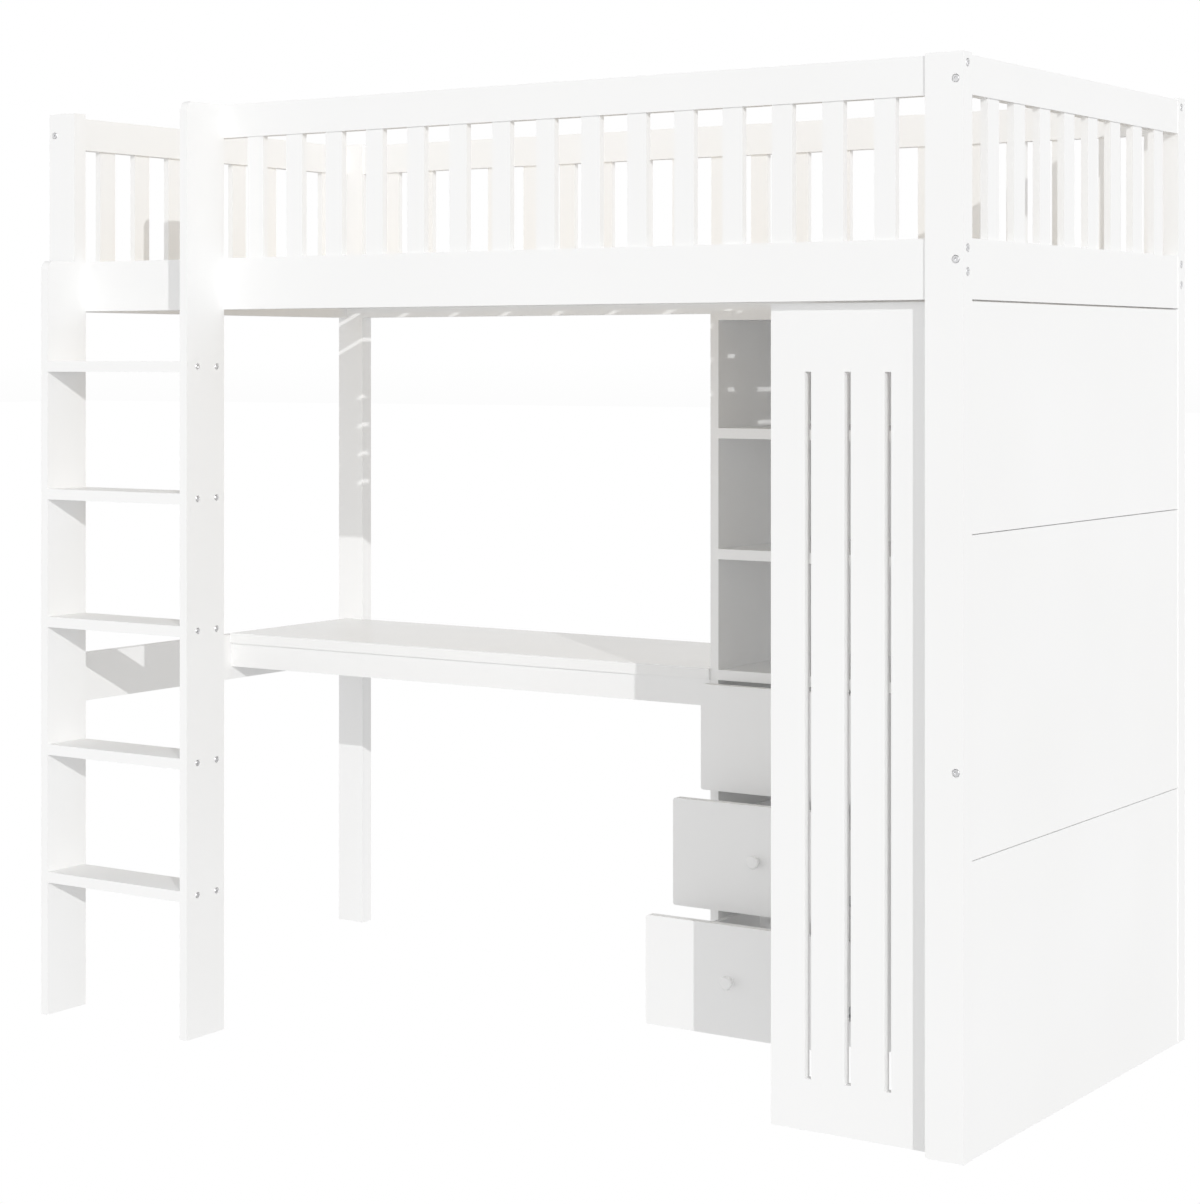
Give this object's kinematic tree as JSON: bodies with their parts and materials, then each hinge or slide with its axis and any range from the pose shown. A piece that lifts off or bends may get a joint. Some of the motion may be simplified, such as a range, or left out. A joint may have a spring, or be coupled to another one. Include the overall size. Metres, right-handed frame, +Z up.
{
  "type": "loft bed with desk",
  "caption": "White loft bed with slatted guard rails, a ladder at the left end, and a desk, shelves, drawers and a slotted panel below.",
  "frame": {"origin": "on the floor, in the middle of the whole bed's length and of its depth with the ladder", "axes": "+X along the bed towards the drawers' end, +Y from the ladder side to the back, +Z up"},
  "size_m": [2.064, 1.07, 1.812],
  "materials": {
    "white_paint": "smooth satin white paint",
    "knob_paint": "satin white paint",
    "pine": "bare planed pine",
    "steel": "zinc-plated steel"
  },
  "bodies": {
    "frame": {"post_front_left": "white_paint", "post_front_right": "white_paint", "post_rear_left": "white_paint", "post_rear_right": "white_paint", "side_rail_front": "white_paint", "side_rail_rear": "white_paint", "guard_rail_front": "white_paint", "guard_rail_rear": "white_paint", "end_rail_left": "white_paint", "end_rail_right": "white_paint", "end_guard_rail_left": "white_paint", "end_guard_rail_right": "white_paint", "balusters_front": "white_paint", "balusters_rear": "white_paint", "balusters_left": "white_paint", "balusters_right": "white_paint", "slat_ledgers": "white_paint", "bed_slats": "pine", "ladder_stile_left": "white_paint", "ladder_stile_right": "white_paint", "rung_1": "white_paint", "rung_2": "white_paint", "rung_3": "white_paint", "rung_4": "white_paint", "rung_5": "white_paint", "desk_cross_rail": "white_paint", "desk_cleat": "white_paint", "desk_top": "white_paint", "desk_apron": "white_paint", "tower_side": "white_paint", "tower_divider": "white_paint", "tower_top": "white_paint", "tower_back": "white_paint", "tower_base": "white_paint", "shelf_lower": "white_paint", "shelf_middle": "white_paint", "shelf_upper": "white_paint", "end_board_lower": "white_paint", "end_board_middle": "white_paint", "end_board_upper": "white_paint", "slotted_panel": "white_paint", "drawer_channels": "steel", "frame_bolts": "steel", "ladder_bolts": "steel", "barrel_nuts": "steel"},
    "drawer_1": {"drawer_1_front": "white_paint", "drawer_1_box": "white_paint", "drawer_1_bottom": "white_paint", "drawer_1_slides": "steel", "drawer_1_knob": "knob_paint"},
    "drawer_2": {"drawer_2_front": "white_paint", "drawer_2_box": "white_paint", "drawer_2_bottom": "white_paint", "drawer_2_slides": "steel", "drawer_2_knob": "knob_paint"},
    "drawer_3": {"drawer_3_front": "white_paint", "drawer_3_box": "white_paint", "drawer_3_bottom": "white_paint", "drawer_3_slides": "steel", "drawer_3_knob": "knob_paint"}
  },
  "joints": [
    {"name": "drawer_1_slide", "type": "slide", "parent": "frame", "child": "drawer_1", "axis": [0, -1, 0], "range_m": [-0.019, 0.281]},
    {"name": "drawer_2_slide", "type": "slide", "parent": "frame", "child": "drawer_2", "axis": [0, -1, 0], "range_m": [-0.121, 0.179]},
    {"name": "drawer_3_slide", "type": "slide", "parent": "frame", "child": "drawer_3", "axis": [0, -1, 0], "range_m": [-0.218, 0.082]}
  ]
}
